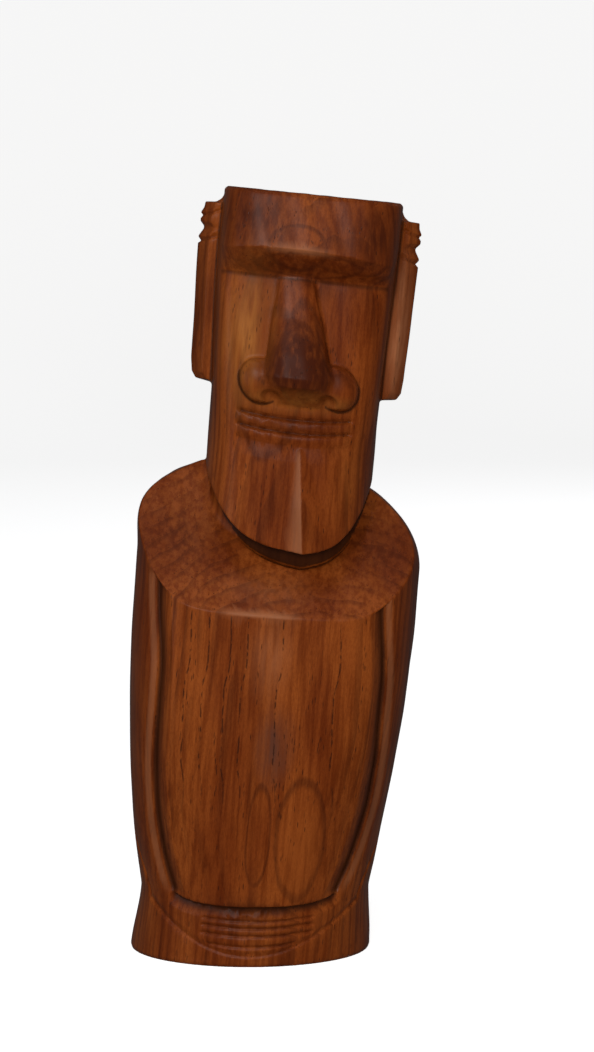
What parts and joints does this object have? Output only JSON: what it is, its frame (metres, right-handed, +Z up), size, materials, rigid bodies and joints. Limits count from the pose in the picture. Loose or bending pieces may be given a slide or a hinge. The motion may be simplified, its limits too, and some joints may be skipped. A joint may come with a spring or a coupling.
{
  "type": "carved wooden moai figure",
  "caption": "Carved wooden moai figure with a long head, ear lobes, arms in low relief and hands under the belly, standing on a flat underside.",
  "frame": {"origin": "centre of the oval underside, on the surface that the figure stands on", "axes": "+Z up, -Y to the front that the face looks to, +X to the figure's left, which is the side it leans to"},
  "size_m": [0.1157, 0.0845, 0.3033],
  "materials": {
    "oiled_wood": "oiled and varnished reddish brown wood, satin"
  },
  "bodies": {
    "root": {"moai_figure": "oiled_wood"}
  },
  "joints": []
}
